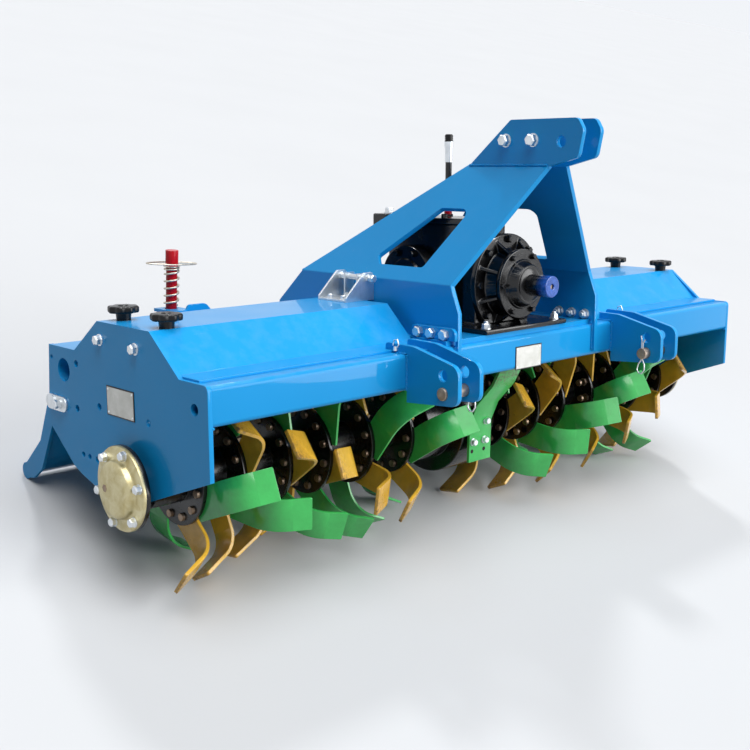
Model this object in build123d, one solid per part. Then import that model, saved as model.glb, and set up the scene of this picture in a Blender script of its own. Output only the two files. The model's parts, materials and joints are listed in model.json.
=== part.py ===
"""Three-point rotary tiller with a centre drive, as separate named pieces.

Every piece is drawn in the machine's own frame: millimetres, X across the machine, Y to the rear,
Z up, with the rotor axis as the X axis.  parked() then turns and lifts it to the pose in which the
machine stands on the floor, leaning back on its rotor and tailboard.
"""
from build123d import *
import math
import os

# ---------------------------------------------------------------- driving dimensions
HALF_WIDTH = 930.0            # centre line to the outer face of a side plate
SIDE_T = 10.0                 # side plate thickness
SHEET_T = 5.0                 # deck and tailboard sheet
PLATE_T = 12.0                # mast, hitch and centre plates

BEAM_FRONT = -263.0           # front beam: square tube across the front
BEAM_DEPTH = 70.0
BEAM_HEIGHT = 80.0
BEAM_TOP = 243.0
BEAM_WALL = 6.0
BEAM_CORNER = 10.0

REAR_TUBE_Y = 281.0           # round cross tube at the rear
REAR_TUBE_Z = 202.0
REAR_TUBE_R = 30.0
REAR_TUBE_WALL = 4.0

DECK_TOP = 325.0              # hood over the rotor
DECK_REAR_TOP = 251.0
DECK_TOP_FRONT = -70.0
DECK_TOP_REAR = 129.0
DECK_FOOT = -152.0
DECK_REAR_FOOT = 230.0
DECK_REAR = 344.0
DECK_LIP_Z = 152.0
DECK_INNER_X = 287.0          # inner end of each half of the hood

FLANGE_R = 104.0              # rotor
FLANGE_T = 10.0
FLANGE_END_GAP_LEFT = 88.0    # end flange to the side plate beside it
FLANGE_END_GAP_RIGHT = 84.0
FLANGE_INNER_LEFT = -232.0    # flanges next to the drive case
FLANGE_INNER_RIGHT = 120.0
ROTOR_TUBE_R = 44.0
STUB_R = 25.0
BLADES_PER_FLANGE = 3         # of each kind
BLADE_FOOT = 38.0             # start of every blade's foot, along the blade

TINE_T = 8.0                  # curved tine: a strip set beside the rotor's radius, then bent over
TINE_WIDTH = 67.0
TINE_OFFSET = 59.6            # from the rotor axis to the strip's centre line
TINE_BEND_START = 131.0
TINE_BEND_R = 58.6
TINE_BEND = 63.4
TINE_LEG = 64.0
TINE_CORNER = 5.0
TINE_LEAD = 62.0              # a curved tine's turn ahead of the cross blade beside it

CROSS_T = 6.0                 # wide cross blade: the same, bent the other way
CROSS_WIDTH = 70.0
CROSS_OFFSET = 71.0
CROSS_BEND_START = 120.0
CROSS_BEND_R = 79.2
CROSS_BEND = 65.0
CROSS_LEG = 42.0

CASE_X = -32.0                # centre drive case, between the two rotor halves
CASE_HALF = 52.0
CASE_R = 130.0
CASE_HUB_R = 92.0
CASE_HUB_LEFT = -165.0
CASE_HUB_RIGHT = 78.0

BEARING_R = 89.0              # rotor end bearings
BEARING_HUB_R = 53.0
BEARING_STAND = 20.0
BEARING_T = 10.0
CAP_RIM = 8.0
CAP_DOME_R = 60.0
CAP_DOME = 27.0

PTO_Z = 362.0                 # input shaft
PTO_END = -327.0
PTO_R = 17.45
PTO_CAP_R = 25.5
BOX_TOP = 500.0               # gearbox
BOX_SHOULDER = 440.0
BOX_HALF = 100.0
BOX_FRONT = -176.0
BOX_REAR = 120.0
SIDE_COVER_Y = 28.0
SIDE_COVER_R = 84.0
BOX_FOOT = 12.0
COVER_R = 118.0
COVER_RIBS = 8

MAST_X = 256.0                # mast: two bent plates
MAST_TOP_X = 33.0
MAST_BEND_Z = 376.0
MAST_EAR_Z = 638.0
MAST_TOP = 744.0
TOP_HOLE_Y = -369.0
TOP_HOLE_Z = 693.0
TOP_HOLE_R = 13.0

HITCH_OUTER_X = 409.0         # lower hitch plates
HITCH_INNER_X = 342.0
HITCH_PIN_Y = -369.0
HITCH_PIN_Z = 172.0
HITCH_PIN_R = 14.0
HITCH_HOLE_Z = 211.0
HITCH_HOLE_R = 13.0

HINGE_Y = 330.0               # tailboard hinge
HINGE_Z = 124.0
HINGE_R = 12.0
TAIL_GAP = 9.0                # between a side plate and a tailboard wing
TAIL_X = HALF_WIDTH - SIDE_T - TAIL_GAP
TAIL_TIP_Y = 531.0            # centre of the wing's rounded tip
TAIL_TIP_Z = -80.0
TAIL_TIP_R = 20.0

ROD_X = 592.0                 # spring rods between hood and tailboard
ROD_R = 8.0
ROD_UPPER_R = 13.5
ROD_EYE_Y = 386.0
ROD_EYE_Z = 112.0
ROD_SEAT_Y = 370.0
ROD_SEAT_Z = 301.0
ROD_EYE_R = 15.0
SPRING_R = 19.5
SPRING_WIRE = 5.0
SPRING_LENGTH = 101.0
ROD_HEAD_R = 15.5
ROD_HEAD = 39.0
BRACKET_T = 8.0
BRACKET_WIDTH = 56.0

FIT = 0.3                     # clearance where separate pieces fit round each other
SEAT = 0.3                    # running gap between bodies

# ---------------------------------------------------------------- parked pose
tine_turn = math.radians(TINE_BEND)
TINE_REACH = (TINE_BEND_START + TINE_BEND_R * math.sin(tine_turn) + TINE_LEG * math.cos(tine_turn)
              + TINE_T / 2 * math.sin(tine_turn))
tip_along = TINE_REACH - TINE_CORNER * math.cos(tine_turn)
tip_beside = TINE_OFFSET + TINE_WIDTH / 2 - TINE_CORNER
tip_turn = math.atan2(tip_beside, tip_along)
TIP_TURN = math.degrees(tip_turn)
TIP_RADIUS = (math.hypot(tip_along, tip_beside)
              + TINE_CORNER * math.hypot(math.cos(tine_turn) * math.cos(tip_turn), math.sin(tip_turn)))
TIP_DISTANCE = math.hypot(TAIL_TIP_Y, TAIL_TIP_Z)
PARK_PITCH = (math.degrees(math.asin((TIP_RADIUS - TAIL_TIP_R) / TIP_DISTANCE))
              - math.degrees(math.atan2(-TAIL_TIP_Z, TAIL_TIP_Y)))


def to_floor(y, z):
    """Machine (y, z) as floor (y, z) before the lengthwise shift."""
    c, s = math.cos(math.radians(PARK_PITCH)), math.sin(math.radians(PARK_PITCH))
    return y * c + z * s, z * c - y * s + TIP_RADIUS


HITCH_FRONT = -412.0          # front edge of the lower hitch plates and its rounded lower corner
HITCH_ROUND = 22.0
HITCH_ROUND_Z = 170.4
FRONT_Y = to_floor(HITCH_FRONT + HITCH_ROUND, HITCH_ROUND_Z)[0] - HITCH_ROUND
REAR_Y = to_floor(TAIL_TIP_Y, TAIL_TIP_Z)[0] + TAIL_TIP_R
ORIGIN_Y = (FRONT_Y + REAR_Y) / 2
PARK = Pos(0, -ORIGIN_Y, TIP_RADIUS) * Rot(-PARK_PITCH, 0, 0)

pieces = {}


def add(node, *solids):
    """Keep one named piece, made of solids that don't touch each other."""
    pieces[node] = [PARK * s for shape in solids for s in shape.solids()]


# ---------------------------------------------------------------- shared shapes
def rounded_face(corners):
    """A flat face from corners (a, b, corner radius)."""
    face = make_face(Polyline(*[(a, b) for a, b, _ in corners], close=True))
    for a, b, radius in corners:
        if radius > 0:
            corner = face.vertices().sort_by_distance(Vector(a, b, 0))[0]
            face = fillet(corner, radius)
    return face


def side_on(face, x_low, thickness):
    """Extrude a face drawn in (y, z) from x_low by thickness along +X."""
    return extrude(Plane.YZ.offset(x_low) * face, amount=thickness)


def bar(x_low, x_high, y, z, radius):
    """A round bar along X."""
    return Pos((x_low + x_high) / 2, y, z) * Rot(0, 90, 0) * Cylinder(radius, x_high - x_low)


def tube(x_low, x_high, y, z, radius, wall):
    """A round tube along X."""
    return bar(x_low, x_high, y, z, radius) - bar(x_low - 1, x_high + 1, y, z, radius - wall)


def block(x_low, x_high, y_low, y_high, z_low, z_high):
    """A box from its limits."""
    size = (x_high - x_low, y_high - y_low, z_high - z_low)
    return Pos((x_low + x_high) / 2, (y_low + y_high) / 2, (z_low + z_high) / 2) * Box(*size)


def folded_sheet(points, thickness):
    """Cross-section of a sheet folded along points, its thickness to the right of the run."""
    line = [Vector(a, b) for a, b in points]
    runs = [(after - before).normalized() for before, after in zip(line, line[1:])]
    sides = [Vector(run.Y, -run.X) for run in runs]
    back = [line[0] + sides[0] * thickness]
    for corner, before, after in zip(line[1:], sides, sides[1:]):
        mitre = (before + after).normalized()
        back.append(corner + mitre * (thickness / mitre.dot(before)))
    back.append(line[-1] + sides[-1] * thickness)
    return make_face(Polyline(*line, *reversed(back), close=True))


# ---------------------------------------------------------------- side plates
SIDE_OUTLINE = [              # y, z, corner radius
    (DECK_REAR, DECK_REAR_TOP + 1, 0), (DECK_REAR_FOOT, DECK_REAR_TOP + 1, 0),
    (DECK_TOP_REAR, DECK_TOP, 0), (DECK_TOP_FRONT, DECK_TOP, 0), (-170, BEAM_TOP + 1, 0),
    (BEAM_FRONT, BEAM_TOP + 1, 12), (BEAM_FRONT, 59, 0), (-41, -27, 0), (60, -66, 60),
    (223, -21, 0), (254, -8, 0), (348, 64, 0), (356, 121, 0)]
SIDE_HOLES = [                # y, z, radius
    (225, 223, 8), (228, 124, 8), (133, 143, 8), (-57, 140, 8), (-219, 193, 12),
    (211, 25, 6.5), (184, 25, 6.5), (152, 25, 6.5), (334, 225, 5)]


def side_plate(outer_x):
    """A side plate with its outer face at outer_x, bored for the rotor stub and hinge pin."""
    face = rounded_face(SIDE_OUTLINE)
    for y, z, radius in SIDE_HOLES:
        face -= Pos(y, z) * Circle(radius)
    face -= Circle(STUB_R + 12)
    face -= Pos(HINGE_Y, HINGE_Z) * Circle(HINGE_R + FIT)
    face -= Pos(REAR_TUBE_Y, REAR_TUBE_Z) * Circle(REAR_TUBE_R - REAR_TUBE_WALL)
    return side_on(face, min(outer_x, outer_x - math.copysign(SIDE_T, outer_x)), SIDE_T)


INNER_X = HALF_WIDTH - SIDE_T
add("side_plate_left", side_plate(-HALF_WIDTH))
add("side_plate_right", side_plate(HALF_WIDTH))

# ---------------------------------------------------------------- cross members
BEAM_BOTTOM = BEAM_TOP - BEAM_HEIGHT
beam_middle = (BEAM_FRONT + BEAM_DEPTH / 2, BEAM_BOTTOM + BEAM_HEIGHT / 2)
beam_face = RectangleRounded(BEAM_DEPTH, BEAM_HEIGHT, BEAM_CORNER)
beam_face -= RectangleRounded(BEAM_DEPTH - 2 * BEAM_WALL, BEAM_HEIGHT - 2 * BEAM_WALL, BEAM_CORNER / 2)
add("front_beam", side_on(Pos(*beam_middle) * beam_face, -INNER_X, 2 * INNER_X))
add("rear_tube", tube(-INNER_X, INNER_X, REAR_TUBE_Y, REAR_TUBE_Z, REAR_TUBE_R, REAR_TUBE_WALL))

centre_outline = Pos(0, (BEAM_FRONT + 10 + DECK_REAR) / 2) * Rectangle(
    2 * DECK_INNER_X - 10, DECK_REAR - BEAM_FRONT - 10)
centre_outline -= Pos(CASE_X, 0) * RectangleRounded(2 * CASE_HALF + 6, 2 * CASE_R + 6, 8)
centre = extrude(Plane.XY.offset(BEAM_TOP) * centre_outline, amount=PLATE_T)
centre += block(-DECK_INNER_X + 5, DECK_INNER_X - 5, DECK_REAR - 8, DECK_REAR, DECK_LIP_Z, BEAM_TOP)
add("centre_plate", centre)

# ---------------------------------------------------------------- hood
DECK_FRONT = BEAM_FRONT + 40
DECK_LINE = [
    (DECK_FRONT, BEAM_TOP + SHEET_T), (DECK_FOOT, BEAM_TOP + SHEET_T),
    (DECK_TOP_FRONT, DECK_TOP), (DECK_TOP_REAR, DECK_TOP), (DECK_REAR_FOOT, DECK_REAR_TOP),
    (DECK_REAR, DECK_REAR_TOP), (DECK_REAR, DECK_LIP_Z)]
END_WALL = [
    (DECK_FOOT, BEAM_TOP + SHEET_T / 2, 0), (DECK_TOP_FRONT + 2, DECK_TOP - SHEET_T / 2, 0),
    (DECK_TOP_REAR - 2, DECK_TOP - SHEET_T / 2, 0), (DECK_REAR_FOOT, DECK_REAR_TOP - SHEET_T / 2, 0)]
for side, name in ((-1, "left"), (1, "right")):
    low, high = sorted((side * INNER_X, side * DECK_INNER_X))
    hood = side_on(folded_sheet(DECK_LINE, SHEET_T), low, high - low)
    wall_low = side * (DECK_INNER_X + SHEET_T / 2) - SHEET_T / 2
    end_wall = side_on(rounded_face(END_WALL), wall_low, SHEET_T)
    add(f"deck_{name}", hood + end_wall)

# ---------------------------------------------------------------- mast
MAST_OUTLINE = [
    (BEAM_FRONT, BEAM_TOP + PLATE_T, 0), (BEAM_FRONT, 178, 0), (-272, 178, 0), (-270, 316, 0),
    (-246, MAST_BEND_Z, 0), (270, MAST_BEND_Z, 0), (364, 293, 0), (364, 274, 0),
    (344, BEAM_TOP + PLATE_T, 0)]
LEAN_OUTLINE = [
    (-246, MAST_BEND_Z, 0), (-335, MAST_EAR_Z, 0), (-94, MAST_EAR_Z, 0), (270, MAST_BEND_Z, 0)]
WINDOW = [(-86, 537, 12), (-180, 537, 22), (-133, 405, 10), (10, 405, 5), (32, 424, 6)]
EAR_OUTLINE = [
    (-335, MAST_EAR_Z, 0), (-416, 658, 16), (-428, 718, 20), (-412, MAST_TOP, 16),
    (-222, MAST_TOP, 12), (-94, MAST_EAR_Z, 0)]
EAR_BOLTS = [(-210, 697), (-290, 697)]
BOLT_R = 8.0


def mast_leg(side):
    """One leg of the mast: an upright foot, a leaning web with a window, and an upright ear."""
    foot = side_on(rounded_face(MAST_OUTLINE), -PLATE_T / 2, PLATE_T)
    rise = MAST_EAR_Z - MAST_BEND_Z
    run = MAST_X - MAST_TOP_X
    lean = math.atan2(run, rise)
    stretch = math.hypot(run, rise) / rise
    web_face = rounded_face([(y, (z - MAST_BEND_Z) * stretch, r) for y, z, r in LEAN_OUTLINE])
    web_face -= rounded_face([(y, (z - MAST_BEND_Z) * stretch, r) for y, z, r in WINDOW])
    web = side_on(web_face, -PLATE_T / 2, PLATE_T)
    ear_face = rounded_face(EAR_OUTLINE) - Pos(TOP_HOLE_Y, TOP_HOLE_Z) * Circle(TOP_HOLE_R)
    for y, z in EAR_BOLTS:
        ear_face -= Pos(y, z) * Circle(BOLT_R + FIT)
    ear = side_on(ear_face, -PLATE_T / 2, PLATE_T)
    foot = Pos(side * MAST_X, 0, 0) * foot
    web = Pos(side * MAST_X, 0, MAST_BEND_Z) * Rot(0, -side * math.degrees(lean), 0) * web
    ear = Pos(side * MAST_TOP_X, 0, 0) * ear
    return foot + web + ear


for side, name in ((-1, "left"), (1, "right")):
    add(f"mast_{name}", mast_leg(side))
spacer_half = MAST_TOP_X - PLATE_T / 2
add("mast_bolts", *[bar(-MAST_TOP_X - 18, MAST_TOP_X + 18, y, z, BOLT_R)
                    + bar(-spacer_half, spacer_half, y, z, BOLT_R + 6) for y, z in EAR_BOLTS])

FOOT_OUTLINE = [
    (-270, BEAM_TOP + PLATE_T, 0), (-132, BEAM_TOP + PLATE_T, 0), (-132, 282, 12), (-270, 284, 14)]
foot_face = rounded_face(FOOT_OUTLINE)
foot_inset = MAST_X + PLATE_T / 2
add("mast_feet", side_on(foot_face, -foot_inset - 10, 10), side_on(foot_face, foot_inset, 10))

# ---------------------------------------------------------------- lower hitch
PLATE_REAR = BEAM_FRONT + BEAM_DEPTH - 4
HITCH_OUTLINE = [
    (BEAM_FRONT, BEAM_TOP, 0), (DECK_FRONT, BEAM_TOP, 0), (DECK_FRONT, BEAM_TOP + SHEET_T, 0),
    (PLATE_REAR, BEAM_TOP + SHEET_T, 0), (PLATE_REAR, 263, 8), (-282, 262, 60),
    (HITCH_FRONT, 232, 26), (HITCH_FRONT, 150, HITCH_ROUND), (BEAM_FRONT, 138, 0)]
pins = []
for side, name in ((-1, "left"), (1, "right")):
    plates = []
    for x in (HITCH_OUTER_X, HITCH_INNER_X):
        face = rounded_face(HITCH_OUTLINE)
        face -= Pos(HITCH_PIN_Y, HITCH_PIN_Z) * Circle(HITCH_PIN_R + FIT)
        face -= Pos(HITCH_PIN_Y, HITCH_HOLE_Z) * Circle(HITCH_HOLE_R)
        plates.append(side_on(face, side * x - PLATE_T / 2, PLATE_T))
    add(f"hitch_plates_{name}", *plates)
    pin_low, pin_high = sorted((side * (HITCH_OUTER_X + 10), side * (HITCH_INNER_X - 26)))
    pins.append(bar(pin_low, pin_high, HITCH_PIN_Y, HITCH_PIN_Z, HITCH_PIN_R))
add("hitch_pins", *pins)

# ---------------------------------------------------------------- gearbox and drive case
BOX_FLOOR = BEAM_TOP + PLATE_T
housing = block(-BOX_HALF, BOX_HALF, BOX_FRONT, BOX_REAR, BOX_FLOOR + BOX_FOOT, BOX_SHOULDER)
housing += block(-BOX_HALF, 25, BOX_FRONT + 16, BOX_REAR, BOX_SHOULDER, BOX_TOP)
housing += block(-BOX_HALF - 40, -BOX_HALF + 30, BOX_REAR - 32, BOX_REAR + 16, BOX_TOP - 30, BOX_TOP + 22)
housing += block(-150, 150, BEAM_FRONT + 4, 150, BOX_FLOOR, BOX_FLOOR + BOX_FOOT)
add("gearbox_housing", housing)


def along_y(y_front, y_back, radius):
    """A round boss on the input shaft's axis."""
    return Pos(0, (y_front + y_back) / 2, PTO_Z) * Rot(90, 0, 0) * Cylinder(radius, y_back - y_front)


def taper_y(y_front, front_radius, y_back, back_radius):
    """A tapered boss on the input shaft's axis."""
    cone = Cone(back_radius, front_radius, y_back - y_front)
    return Pos(0, (y_front + y_back) / 2, PTO_Z) * Rot(90, 0, 0) * cone


COVER_FACE = BOX_FRONT - 14   # front cover: flange, ribbed neck, bearing ring and nose
NECK_FACE = COVER_FACE - 34
RING_FACE = NECK_FACE - 12
NOSE_FACE = RING_FACE - 26
cover = along_y(COVER_FACE, BOX_FRONT, COVER_R)
cover += taper_y(NECK_FACE, 66, COVER_FACE, 82)
cover += along_y(RING_FACE, NECK_FACE, 83)
cover += taper_y(NOSE_FACE, 46, RING_FACE, 58)
rib_line = [(60, COVER_FACE), (110, COVER_FACE), (80, NECK_FACE), (60, NECK_FACE)]
rib = extrude(make_face(Polyline(*rib_line, close=True)), amount=4, both=True)
for i in range(COVER_RIBS):
    turn = (i + 0.5) * 360 / COVER_RIBS
    cover += Pos(0, 0, PTO_Z) * Rot(0, turn, 0) * rib
cover -= along_y(NOSE_FACE - 1, BOX_FRONT + 1, PTO_R + FIT)
cover -= block(-150, 150, NECK_FACE - 1, BOX_FRONT + 1, 200, BOX_FLOOR + BOX_FOOT)
add("gearbox_cover", cover)
side_covers = []
for side in (-1, 1):
    low, high = sorted((side * BOX_HALF, side * (BOX_HALF + 30)))
    side_covers.append(bar(low, high, SIDE_COVER_Y, PTO_Z, SIDE_COVER_R))
add("gearbox_side_covers", *side_covers)

case_face = Circle(CASE_R) + Pos(0, BOX_FLOOR / 2) * Rectangle(2 * CASE_R - 40, BOX_FLOOR)
drive_case = side_on(case_face, CASE_X - CASE_HALF, 2 * CASE_HALF)
drive_case += bar(CASE_HUB_LEFT, CASE_HUB_RIGHT, 0, 0, CASE_HUB_R)
add("drive_case", drive_case)

GUARD_Y = -CASE_R - 10
breaker_line = [(GUARD_Y - 98, BEAM_BOTTOM), (GUARD_Y - 74, 118), (GUARD_Y - 24, 63),
                (GUARD_Y - 2, 14), (GUARD_Y, -86)]
breaker = side_on(folded_sheet(list(reversed(breaker_line)), 8), CASE_X - 40, 80)
breaker -= block(-DECK_INNER_X, DECK_INNER_X, BEAM_FRONT, BEAM_FRONT + BEAM_DEPTH, BEAM_BOTTOM, BEAM_TOP)
add("case_guard", breaker)

PIPE_TOP = 716.0
add("breather_pipe", Pos(-4, 4, (BOX_TOP + PIPE_TOP) / 2) * Cylinder(8, PIPE_TOP - BOX_TOP))

# ---------------------------------------------------------------- input shaft
shaft_end = PTO_END + 5
CAP_BACK = NOSE_FACE - 3
add("input_shaft", along_y(shaft_end, BOX_FRONT - 2, PTO_R))
shaft_cap = along_y(PTO_END, CAP_BACK, PTO_CAP_R) - along_y(shaft_end - FIT, CAP_BACK + 1, PTO_R + FIT)
add("shaft_cap", shaft_cap - along_y(PTO_END - 1, shaft_end, 6))

# ---------------------------------------------------------------- rotor
REST_PHASE = 270 + PARK_PITCH - TIP_TURN - TINE_LEAD
LEFT_FLANGES = [              # share of the way from end to inner flange, turn of its cross blades
    (0.0, 158.0), (0.170, 181.0), (0.376, REST_PHASE), (0.568, 217.0), (0.782, 247.5), (1.0, 267.5)]
RIGHT_FLANGES = [
    (1.0, REST_PHASE), (0.820, 185.5), (0.667, 165.5), (0.483, 150.0), (0.325, 129.0),
    (0.160, 113.0), (0.0, REST_PHASE)]
END_LEFT = FLANGE_END_GAP_LEFT - INNER_X
END_RIGHT = INNER_X - FLANGE_END_GAP_RIGHT
left_flanges = [(END_LEFT + share * (FLANGE_INNER_LEFT - END_LEFT), turn) for share, turn in LEFT_FLANGES]
right_flanges = [(END_RIGHT + share * (FLANGE_INNER_RIGHT - END_RIGHT), turn)
                 for share, turn in RIGHT_FLANGES]


def bent_strip(bend_start, bend_radius, bend_angle, leg, width, thickness, offset, corner):
    """A flat strip standing up along Z beside the axis, then bent towards +X."""
    angle = math.radians(bend_angle)

    def at(radius, turn):
        return (bend_radius - radius * math.cos(turn), bend_start + radius * math.sin(turn))

    outer = bend_radius + thickness / 2
    inner = bend_radius - thickness / 2
    reach = (leg * math.sin(angle), leg * math.cos(angle))
    outer_end = (at(outer, angle)[0] + reach[0], at(outer, angle)[1] + reach[1])
    inner_end = (at(inner, angle)[0] + reach[0], at(inner, angle)[1] + reach[1])
    edges = [
        Line((-thickness / 2, BLADE_FOOT), at(outer, 0)),
        ThreePointArc(at(outer, 0), at(outer, angle / 2), at(outer, angle)),
        Line(at(outer, angle), outer_end),
        Line(outer_end, inner_end),
        Line(inner_end, at(inner, angle)),
        ThreePointArc(at(inner, angle), at(inner, angle / 2), at(inner, 0)),
        Line(at(inner, 0), (thickness / 2, BLADE_FOOT)),
        Line((thickness / 2, BLADE_FOOT), (-thickness / 2, BLADE_FOOT))]
    strip = extrude(Plane.XZ * make_face(Curve() + edges), amount=width / 2, both=True)
    corners = [edge for edge in strip.edges() if abs(edge.length - thickness) < 0.01]
    strip = fillet(corners, corner)
    return Pos(FLANGE_T / 2 + thickness / 2, -offset, 0) * strip


cross_blade = bent_strip(CROSS_BEND_START, CROSS_BEND_R, CROSS_BEND, CROSS_LEG, CROSS_WIDTH, CROSS_T,
                         CROSS_OFFSET, 3)
curved_tine = bent_strip(TINE_BEND_START, TINE_BEND_R, TINE_BEND, TINE_LEG, TINE_WIDTH, TINE_T,
                         TINE_OFFSET, TINE_CORNER)
curved_tine = Pos(FLANGE_T + TINE_T, 0, 0) * mirror(curved_tine, about=Plane.YZ)


def rotor_half(flanges, stub_end, inner_end, hub_radius):
    """Tube, flanges and the stub that runs in the end bearing."""
    places = [x for x, turn in flanges]
    end_flange = min(places) if stub_end < 0 else max(places)
    low, high = sorted((inner_end, end_flange))
    shape = bar(low, high, 0, 0, ROTOR_TUBE_R)
    stub_low, stub_high = sorted((stub_end, (low + high) / 2))
    shape += bar(stub_low, stub_high, 0, 0, STUB_R)
    for x in places:
        shape += bar(x - FLANGE_T / 2, x + FLANGE_T / 2, 0, 0, FLANGE_R)
    hub_low, hub_high = sorted((math.copysign(INNER_X - 6, stub_end), end_flange))
    return shape + bar(hub_low, hub_high, 0, 0, hub_radius)


def set_of(blade, flanges, offset):
    """Copies of a blade round each flange, turned with the flange by its own turn."""
    solids = []
    for x, turn in flanges:
        for i in range(BLADES_PER_FLANGE):
            angle = turn + offset + i * 360 / BLADES_PER_FLANGE - 90
            solids.append(Rot(angle, 0, 0) * Pos(x, 0, 0) * blade)
    return solids


STUB_END = HALF_WIDTH + BEARING_STAND + 6
add("rotor_shaft_left", rotor_half(left_flanges, -STUB_END, CASE_HUB_LEFT - 2, BEARING_HUB_R))
add("rotor_shaft_right", rotor_half(right_flanges, STUB_END, CASE_HUB_RIGHT + 2, ROTOR_TUBE_R))
add("curved_tines_left", *set_of(curved_tine, left_flanges, TINE_LEAD))
add("curved_tines_right", *set_of(curved_tine, right_flanges, TINE_LEAD))
add("cross_blades_left", *set_of(cross_blade, left_flanges, 0))
add("cross_blades_right", *set_of(cross_blade, right_flanges[:-1], 0))

# ---------------------------------------------------------------- rotor end bearings
for side, name in ((-1, "left"), (1, "right")):
    faces = [HALF_WIDTH]
    for step in (BEARING_STAND, BEARING_T, CAP_RIM, CAP_DOME - CAP_RIM):
        faces.append(faces[-1] + step)
    plate, ring_in, ring_out, rim, dome = [side * x for x in faces]
    ring = bar(min(ring_in, ring_out), max(ring_in, ring_out), 0, 0, BEARING_R)
    ring += bar(min(plate, ring_in), max(plate, ring_in), 0, 0, BEARING_HUB_R)
    ring -= bar(min(plate, ring_out) - 1, max(plate, ring_out) + 1, 0, 0, STUB_R + FIT)
    add(f"bearing_flange_{name}", ring)
    cap = bar(min(ring_out, rim), max(ring_out, rim), 0, 0, BEARING_R)
    cap += bar(min(rim, dome), max(rim, dome), 0, 0, CAP_DOME_R)
    add(f"bearing_cap_{name}", cap)

# ---------------------------------------------------------------- tailboard
tail_line = [(HINGE_Y + 4, HINGE_Z - 4), (396, 80), (450, -25), (507, -72),
             (TAIL_TIP_Y + 6, TAIL_TIP_Z - 8)]
WING_OUTLINE = [
    (318, 136, 10), (404, 106, 6), (450, 9, 0), (521, -53, 0),
    (TAIL_TIP_Y + 18, TAIL_TIP_Z + 4, 0), (TAIL_TIP_Y + 6, TAIL_TIP_Z - 18, 0),
    (494, -91, 0), (450, -60, 0), (388, 54, 0), (318, 112, 10)]
sheet = side_on(folded_sheet(tail_line, SHEET_T), -TAIL_X + 8, 2 * TAIL_X - 16)
sheet += bar(-TAIL_X + 8, TAIL_X - 8, HINGE_Y, HINGE_Z, HINGE_R)
add("tailboard_sheet", sheet)
wings = []
links = []
for side in (-1, 1):
    low = min(side * TAIL_X, side * (TAIL_X - 8))
    wing_face = rounded_face(WING_OUTLINE) + Pos(TAIL_TIP_Y, TAIL_TIP_Z) * Circle(TAIL_TIP_R)
    wing = side_on(wing_face, low, 8)
    pin_low, pin_high = sorted((side * TAIL_X, side * (HALF_WIDTH + 4)))
    wings.append(wing + bar(pin_low, pin_high, HINGE_Y, HINGE_Z, HINGE_R))
    link_low, link_high = sorted((side * HALF_WIDTH, side * (HALF_WIDTH + 6)))
    link = Pos(HINGE_Y - 16, HINGE_Z) * SlotOverall(92, 34) - Pos(HINGE_Y, HINGE_Z) * Circle(HINGE_R + FIT)
    links.append(side_on(link, link_low, link_high - link_low))
add("tailboard_wings", *wings)
add("hinge_links", *links)

# ---------------------------------------------------------------- tailboard spring rods
LUG_T = 6.0
LUG_GAP = 1.0
ROD_LENGTH = math.hypot(ROD_SEAT_Y - ROD_EYE_Y, ROD_SEAT_Z - ROD_EYE_Z)
ROD_LEAN = math.degrees(math.atan2(ROD_EYE_Y - ROD_SEAT_Y, ROD_SEAT_Z - ROD_EYE_Z))
ROD_TOP = ROD_LENGTH + SPRING_LENGTH + ROD_HEAD
POST_Y = 326.0                # upright plate that carries each seat, with a rounded shoulder
SHOULDER = [(-28, DECK_REAR_TOP, 0), (84, DECK_REAR_TOP, 0), (84, ROD_SEAT_Z - 10, 0),
            (66, ROD_SEAT_Z + 10, 18), (16, ROD_SEAT_Z + 10, 10), (10, ROD_SEAT_Z - 2, 0),
            (-28, ROD_SEAT_Z - 2, 0)]
LUG_SLOPE = (tail_line[1][1] - tail_line[0][1]) / (tail_line[1][0] - tail_line[0][0])
LUG_OUTLINE = [
    (y, tail_line[0][1] + (y - tail_line[0][0]) * LUG_SLOPE, 0) for y in (ROD_EYE_Y - 40, tail_line[1][0])
] + [(ROD_EYE_Y + 20, ROD_EYE_Z - 16, 5), (ROD_EYE_Y + 19, ROD_EYE_Z + 8, 10),
     (ROD_EYE_Y, ROD_EYE_Z + 18, 10), (ROD_EYE_Y - 20, ROD_EYE_Z + 12, 8)]


def on_rod(low, high, radius):
    """A round length of a spring rod, measured from the centre of its eye."""
    return Pos(0, 0, (low + high) / 2) * Cylinder(radius, high - low)


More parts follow.
